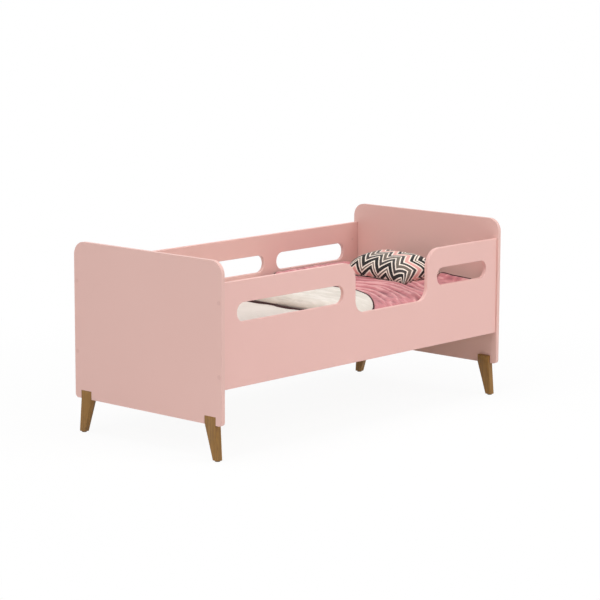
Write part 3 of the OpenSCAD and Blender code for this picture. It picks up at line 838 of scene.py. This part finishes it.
def lay_cloth():
    """The thin cloth, cut, folded back and settled: the layer below first, then the flap."""
    bm = bmesh.new()
    bmesh.ops.create_grid(bm, x_segments=round(CLOTH_L / CLOTH_STEP),
                          y_segments=round(2 * QUILT_HALF_W / CLOTH_STEP), size=0.5)
    cloth_uv = bm.loops.layers.uv.new("cloth")
    flat = {v.index: cut_corners((v.co.x + 0.5) * CLOTH_L, v.co.y * 2 * QUILT_HALF_W)
            for v in bm.verts}
    for face in bm.faces:
        for loop in face.loops:
            loop[cloth_uv].uv = flat[loop.vert.index]
    for v in bm.verts:
        v.co = folded_back(*flat[v.index])
    bmesh.ops.reverse_faces(bm, faces=bm.faces[:])
    made = piece("quilt_cloth", bm, [QUILT_PINK, QUILT_CREAM, QUILT_CREAM], "mattress", "quilt")
    lie(made, [i for i, (s, _) in flat.items() if s > LOWER_L - 0.02], QUILT_LO.z)
    lie(made, [i for i, (s, _) in flat.items() if s < LOWER_L + BEND_L + 0.02],
        QUILT_LO.z + PAD + LAYER_GAP)
    return made


def lower_folds(x, y, z, s):
    """The layer below: its height, the small folds on it, and its mark for painted shade in the
    valleys and a painted highlight on the crests.
    """
    outside = past_flap(x, y)
    wander = WANDER * drift(x * 5.2, y * 3.4, 1.7)
    along = 0.5 * x + 0.9 * y
    nest = pillow_nest(x, y)
    heap = corner_heap(x, y)
    open_part = smooth_step((outside - 0.012) / 0.03) * smooth_step((0.38 - outside) / 0.06)
    open_part *= 0.55 + 0.45 * smooth_step((0.18 - y) / 0.25)
    broad = swell(outside + wander * 2, SWELL_PITCH)
    z = max(z, LOW_Z) - TUCK_DROP * tucked(x, y)
    z += SWELL_H * open_part * broad * (1 - nest) + NEST_RISE * nest + HEAP_RISE * heap
    z += LOWER_WALL_RISE * at_wall(y) * smooth_step((x - 0.20) / 0.07)
    edge_rise = PAD / 2 * thinned(s) + HEAP_EDGE_RISE * smooth_step((0.02 - s) / 0.02)
    z += edge_rise * smooth_step(heap * 2)
    strong = 0.80 + 1.2 * drift(outside * 9, along * 3.0, 2.0)
    comb = swell(outside + wander, COMB_PITCH) ** 1.8
    small = ridges((outside + wander) * 38, along * 5.0, 7.0)
    creased = ridges(x * 9 + y * 9, y * 26 - x * 12, 4.0)
    fold = open_part * (COMB_H * comb * min(1.2, max(0.1, strong)) + SMALL_FOLD_H * small)
    fold += CREASE_H * heap * creased
    fold *= smooth_step(min(s, QUILT_HALF_W - abs(y)) / 0.03)
    # painted shade and highlight: the mark is low in the folds' valleys and high on their crests
    depth = open_part * min(1.0, max(0.0, strong) * 1.3)
    shade_mark = 0.5 + depth * (comb - 0.5) * 1.2 + 0.35 * open_part * (small - 0.4)
    return z, fold, shade_mark + 0.7 * heap * (creased - 0.4)


def flap_folds(x, y, z, s):
    """The bend and the flap on top, in the same three numbers."""
    outside = past_flap(x, y)
    loose = smooth_step(-outside / 0.07)
    over = smooth_step((s - LOWER_L) / BEND_L)
    z += BILLOW * loose * drift(x * 9 + y * 3, y * 4, 2.0)
    edge_rise = PAD / 2 * thinned(-outside) + FLAP_EDGE_RISE
    z += edge_rise * smooth_step((s - LOWER_L - BEND_L) / 0.05)
    drop = (FLAP_DROP * smooth_step((-y - 0.20) / (QUILT_HALF_W - 0.20))
            + FLAP_EDGE_DROP * smooth_step((-y - 0.27) / 0.065))
    z -= drop * over + TUCK_DROP * tucked(x, y) * (1 - over)
    z += FLAP_WALL_RISE * at_wall(y) * smooth_step((x - 0.12) / 0.10)
    creased = ridges(x * 17 + y * 3, y * 4 - x, 5.0)
    # the third number marks painted shade in the creases and a painted highlight on their crests
    return z, CREASE_H * loose * creased, 0.5 + 0.6 * loose * (creased - 0.4)


def shape_cloth(made):
    """Makes the cloth twice as fine and shapes it. Hands back how high each point's small fold
    will be, its mark for painted shade in valleys and a painted highlight on crests, and which
    points are in the layer below."""
    bm = bmesh.new()
    bm.from_mesh(made.data)
    bmesh.ops.subdivide_edges(bm, edges=bm.edges[:], cuts=1, use_grid_fill=True, smooth=0.0)
    cloth_uv = bm.loops.layers.uv["cloth"]
    folds, shade_marks, below = {}, {}, set()
    for v in bm.verts:
        s = v.link_loops[0][cloth_uv].uv.x
        x, y, z = v.co
        if s < LOWER_L:
            below.add(v.index)
            z, folds[v.index], shade_marks[v.index] = lower_folds(x, y, z, s)
        else:
            z, folds[v.index], shade_marks[v.index] = flap_folds(x, y, z, s)
        # the fold runs a little askew, nearer to the foot end on the entry side
        x -= FOLD_SKEW * smooth_step((0.10 - x) / 0.22) * (0.5 - y / (2 * QUILT_HALF_W))
        v.co = (x, min(max(y, -QUILT_HALF_W), QUILT_HALF_W), z)
    bm.to_mesh(made.data)
    bm.free()
    return folds, shade_marks, below


def thin_rim(made):
    """A vertex group that thins the padding towards the piped edge. Hands back that edge."""
    bm = bmesh.new()
    bm.from_mesh(made.data)
    far = {v.index: 1e9 for v in bm.verts}
    ring = [v for v in bm.verts if v.is_boundary]
    for v in ring:
        far[v.index] = 0.0
    for _ in range(9):
        for v in bm.verts:
            for e in v.link_edges:
                other = e.other_vert(v)
                far[v.index] = min(far[v.index], far[other.index] + e.calc_length())
    group = made.vertex_groups.new(name="padding")
    for index, distance in far.items():
        share = round_share(min(1.0, distance / RIM))
        group.add([index], RIM_SHARE + (1 - RIM_SHARE) * share, "REPLACE")
    loop, seen, at = [], set(), ring[0]
    while at is not None:
        seen.add(at.index)
        loop.append(at.co.copy())
        at = next((e.other_vert(at) for e in at.link_edges
                   if e.is_boundary and e.other_vert(at).index not in seen), None)
    bm.free()
    return loop


def raise_folds(padded, folds, shade_marks, below):
    """Lifts the folds on the side that shows, and marks its valleys for painted shade and its
    crests for a painted highlight in the finish.
    The padded mesh holds one side's points and then the other's. Pink is the upper side of the
    layer below, and cream is the upper side of the flap."""
    count = len(folds)
    points = padded.vertices
    pink_first = sum(points[i].co.z - points[i + count].co.z for i in folds if i in below) > 0
    # the attribute only sets painted shade and painted highlight; 0.5 is neither
    crest = padded.attributes.new("crest", "FLOAT", "POINT")
    for entry in crest.data:
        entry.value = 0.5
    for index, height in folds.items():
        first = pink_first if index in below else not pink_first
        at = index if first else index + count
        points[at].co.z += height
        crest.data[at].value = shade_marks[index]


def make_quilt():
    """The padded quilt, and the points of its piped edge."""
    made = lay_cloth()
    folds, shade_marks, below = shape_cloth(made)
    edge = thin_rim(made)
    modifier(made, "SOLIDIFY", thickness=PAD, offset=0.0, vertex_group="padding",
             material_offset=1, material_offset_rim=1, use_even_offset=False)
    graph = bpy.context.evaluated_depsgraph_get()
    padded = bpy.data.meshes.new_from_object(made.evaluated_get(graph))
    made.modifiers.clear()
    made.data = padded
    raise_folds(padded, folds, shade_marks, below)
    padded.shade_smooth()
    return made, edge


def cord(name, points, radius, closed=True):
    """A round cord that follows points, in the piping's dark colour: the quilt's piping, and the
    dark cord of painted shadow under the fold.
    """
    curve = bpy.data.curves.new(name, "CURVE")
    curve.dimensions = "3D"
    spline = curve.splines.new("POLY")
    spline.points.add(len(points) - 1)
    for target, p in zip(spline.points, points):
        target.co = (*p, 1)
    spline.use_cyclic_u = closed
    curve.bevel_depth, curve.bevel_resolution = radius, 2
    curve.use_fill_caps = not closed
    path = bpy.data.objects.new(name + "_path", curve)
    SCENE.collection.objects.link(path)
    tube = bpy.data.meshes.new_from_object(path)
    bm = bmesh.new()
    bm.from_mesh(tube)
    bpy.data.meshes.remove(tube)
    remove(path)
    bmesh.ops.remove_doubles(bm, verts=bm.verts[:], dist=0.00001)
    bmesh.ops.recalc_face_normals(bm, faces=bm.faces[:])
    piece(name, bm, [PIPING_AND_SHADOW_CORD], "mattress")


def fold_shadow_cord(quilt):
    """The points of a dark cord of painted shadow along the foot of the fold, on its lower side
    and a little way in from it, for the shade under the rolled flap.
    """
    rows = {}
    for v in quilt.data.vertices:
        rows.setdefault(round(v.co.y / CLOTH_STEP), []).append(v.co)
    points = []
    for key in sorted(rows):
        lowest = [p for p in rows[key] if p.z < QUILT_LO.z + PAD * 0.6]
        if lowest:
            p = min(lowest, key=lambda q: q.x)
            # painted shadow: the cord steps out from the fold in waves, like the wedges of shade
            # under the roll
            shown = 0.5 + 0.5 * math.cos((p.y - 0.14) * math.tau / 0.21)
            points.append((p.x - 0.003 - 0.006 * shown, p.y, QUILT_LO.z + 0.006))
    return points[1:-1]


quilt, quilt_edge = make_quilt()
cord("quilt_piping", quilt_edge, PIPING_R)
# a dark cord laid under the fold as painted shadow
cord("quilt_fold_shadow_cord", fold_shadow_cord(quilt), FOLD_SHADOW_CORD_R, closed=False)


# ---------------------------------------------------------------- pillow

def even_steps(half, crown, count):
    """Places from -1 to 1 that lie at even distances along a panel's crowned section,
    and that section's half length."""
    fine = [i / 400 for i in range(401)]
    points = [(half * u, crown * math.sqrt(1 - u ** 4)) for u in fine]
    run = [0.0]
    for p, q in zip(points, points[1:]):
        run.append(run[-1] + math.dist(p, q))
    places = []
    for i in range(count + 1):
        want = run[-1] * i / count
        j = next(k for k, length in enumerate(run) if length >= want - 1e-9)
        back = max(j - 1, 0)
        step = run[j] - run[back]
        share = (want - run[back]) / step if step else 0
        places.append(fine[back] + (fine[j] - fine[back]) * share)
    return [-p for p in places[:0:-1]] + places, run[-1]


def pillow_panels(nu, nv):
    """Two panels sewn together and crowned, the upper one more, with the flat cloth as map."""
    at_u, long_u = even_steps(PILLOW_HALF_L, PILLOW_HALF_T * 1.4, nu)
    at_v, long_v = even_steps(PILLOW_HALF_W, PILLOW_HALF_T * 1.4, nv)
    bm = bmesh.new()
    bmesh.ops.create_grid(bm, x_segments=2 * nu, y_segments=2 * nv, size=1.0)
    cloth_uv = bm.loops.layers.uv.new("cloth")
    for face in bm.faces:
        for loop in face.loops:
            loop[cloth_uv].uv = (loop.vert.co.x * long_u, loop.vert.co.y * long_v)
    under = only(bmesh.types.BMFace, copied(bm))
    for face in under:
        for loop in face.loops:
            loop[cloth_uv].uv.x = 2 * long_u - loop[cloth_uv].uv.x
    bmesh.ops.reverse_faces(bm, faces=under)
    lower = {v for f in under for v in f.verts}
    for v in bm.verts:
        u = at_u[round((v.co.x + 1) * nu)]
        w = at_v[round((v.co.y + 1) * nv)]
        fill = math.sqrt(max(0, 1 - u ** 4)) * math.sqrt(max(0, 1 - w ** 4))
        v.co.x = PILLOW_HALF_L * u * (1 - PILLOW_WAIST * (1 - w * w))
        v.co.y = PILLOW_HALF_W * w * (1 - PILLOW_WAIST * (1 - u * u))
        v.co.z = PILLOW_HALF_T * fill * (-PILLOW_BELOW if v in lower else PILLOW_ABOVE)
    bmesh.ops.remove_doubles(bm, verts=bm.verts[:], dist=0.0003)
    bmesh.ops.recalc_face_normals(bm, faces=bm.faces[:])
    return bm


def fill_pillow(made):
    """Blows the case up a little, for the puckers that filling gives it."""
    before = [v.co.copy() for v in made.data.vertices]
    settle(made, 10, gravity=0.0, pressure=2.5, gap=0.001, stiffness=10, bending=1.0, mass=0.2,
           grow=0.012)
    for v, p in zip(made.data.vertices, before):
        puff = v.co - p
        if puff.length > PILLOW_PUFF:
            puff *= PILLOW_PUFF / puff.length
        v.co = p + puff


def make_pillow():
    """The filled case, tilted and turned, and flattened where it lies on the quilt."""
    made = piece("pillow_case", pillow_panels(26, 42), [PILLOW_PRINT], "pillow", "pillow")
    fill_pillow(made)
    made.data.transform(Matrix.Translation((PILLOW_X, PILLOW_Y, PILLOW_LO.z + PILLOW_RISE))
                        @ Matrix.Rotation(PILLOW_TURN, 4, "Z")
                        @ Matrix.Rotation(-PILLOW_TILT, 4, "Y"))
    floor, soft = PILLOW_LO.z + 0.001, 0.010
    for v in made.data.vertices:
        if v.co.z < floor + soft:
            v.co.z = floor + soft * math.exp((v.co.z - floor - soft) / soft)
    modifier(made, "SUBSURF", levels=1, render_levels=1)


make_pillow()


# ---------------------------------------------------------------- studio

FLOOR_HALF, SHADOW_R, WHITE_R = 9.0, 0.9, 2.4
LAMP_AIM = Vector((0, 0, 0.4))
CAMERA_AT = Vector((-6.186, -5.611, 1.827))
CAMERA_AZIMUTH, CAMERA_ELEVATION, CAMERA_ROLL = -47.87, 9.52, 0.226


def make_floor():
    """A floor that takes a soft shadow near the bed and is white further out."""
    f = Finish("studio_floor")
    haze = f.noise(f.place(), 0.4, 2.0)
    matt = f.node("BsdfDiffuse", (), {"Color": f.mix((0.90, 0.90, 0.90, 1), (0.93, 0.93, 0.93, 1),
                                                     haze)})
    white = f.node("Emission", (), {"Color": (1, 1, 1, 1), "Strength": 1.0})
    seen = f.node("LightPath", (), (), out="Is Camera Ray")
    shine = f.node("LightPath", (), (), out="Is Glossy Ray")
    x, y, _ = f.axes(f.place())
    far = (x * x + y * y).power(0.5).ramp(SHADOW_R, WHITE_R)
    white_share = (seen + shine).smallest(1.0) * (0.93 + far * 0.07)
    mixed = f.node("MixShader", (), {0: white_share, 1: matt, 2: white})
    bm = bmesh.new()
    bmesh.ops.create_grid(bm, x_segments=1, y_segments=1, size=FLOOR_HALF)
    piece("floor", bm, [f.close(mixed)])


def make_world():
    """Plain white where it is looked at or mirrored, and dimmer as a light."""
    f = Finish("studio", bpy.data.worlds)
    sky = f.node("Background", (), {"Color": (1, 1, 1, 1), "Strength": 0.38})
    shown = f.node("Background", (), {"Color": (1, 1, 1, 1), "Strength": 1.0})
    seen = f.node("LightPath", (), (), out="Is Camera Ray")
    shine = f.node("LightPath", (), (), out="Is Glossy Ray")
    mixed = f.node("MixShader", (), {0: seen.largest(shine), 1: sky, 2: shown})
    SCENE.world = f.close(mixed, "OutputWorld")


def lamp(name, place, size, power):
    """A square lamp that is aimed at the bed's middle."""
    light = bpy.data.lights.new(name, "AREA")
    light.shape, light.size, light.energy = "SQUARE", size, power
    made = bpy.data.objects.new(name, light)
    made.location = place
    made.rotation_euler = (LAMP_AIM - Vector(place)).to_track_quat("-Z", "Y").to_euler()
    SCENE.collection.objects.link(made)


def make_camera():
    """A long lens that looks down a little, from the entry side by the foot end."""
    azimuth, elevation, roll = (math.radians(angle) for angle in (
        CAMERA_AZIMUTH, CAMERA_ELEVATION, CAMERA_ROLL))
    back = Vector((math.sin(azimuth) * math.cos(elevation),
                   -math.cos(azimuth) * math.cos(elevation), math.sin(elevation)))
    level = Vector((math.cos(azimuth), math.sin(azimuth), 0))
    rise = back.cross(level)
    right = level * math.cos(roll) + rise * math.sin(roll)
    up = rise * math.cos(roll) - level * math.sin(roll)
    camera = bpy.data.objects.new("camera", bpy.data.cameras.new("camera"))
    camera.matrix_world = Matrix.Translation(CAMERA_AT) @ Matrix(
        (right, up, back)).transposed().to_4x4()
    camera.data.sensor_width = 36
    camera.data.lens = 135.03
    camera.data.shift_x, camera.data.shift_y = 0.0025, 0.0023
    camera.data.clip_end = 60
    SCENE.collection.objects.link(camera)
    SCENE.camera = camera


make_floor()
make_world()
lamp("key", (1.8, -4.8, 4.2), 2.8, 138)
lamp("fill", (-8.2, -1.6, 6.4), 4.5, 225)
lamp("top", (-1.0, -0.2, 4.8), 3.0, 100)
make_camera()
SCENE.view_settings.view_transform = "Standard"
